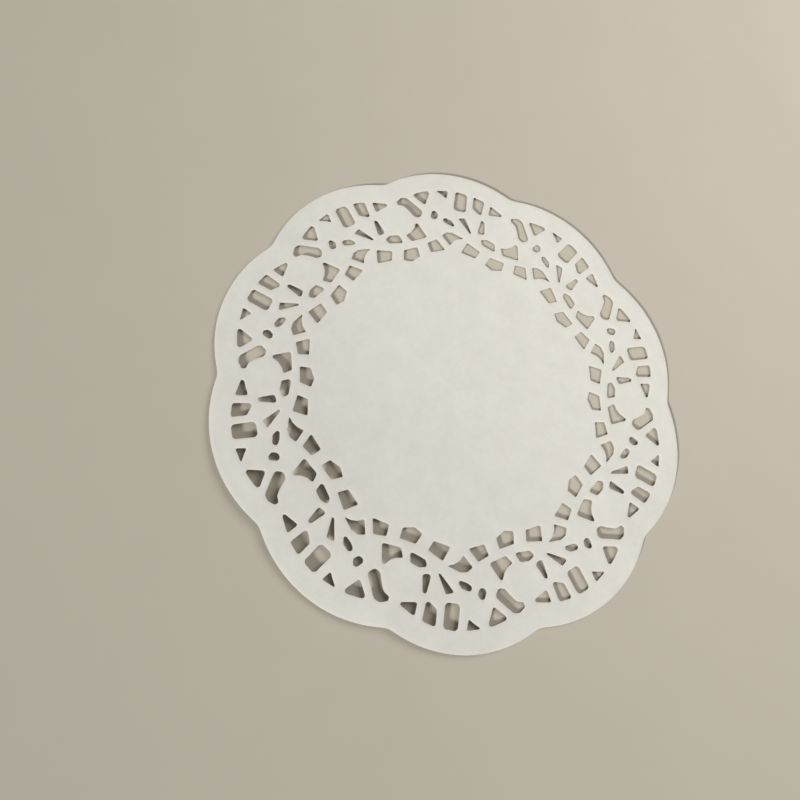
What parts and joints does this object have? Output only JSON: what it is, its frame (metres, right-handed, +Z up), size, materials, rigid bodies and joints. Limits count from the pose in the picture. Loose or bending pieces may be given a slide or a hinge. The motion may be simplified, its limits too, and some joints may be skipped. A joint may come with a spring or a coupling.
{
  "type": "paper doily",
  "caption": "Round flat sheet of plain white paper with a scalloped rim and a die-cut lace border round a plain middle.",
  "frame": {"origin": "centre of the underside, on the surface that the sheet lies on", "axes": "+Z up through the sheet's thickness, +Y through the middle of one scallop, +X through a notch between two scallops"},
  "size_m": [0.161, 0.165, 0.001],
  "materials": {
    "paper": "matte"
  },
  "bodies": {
    "root": {"doily": "paper"}
  },
  "joints": []
}
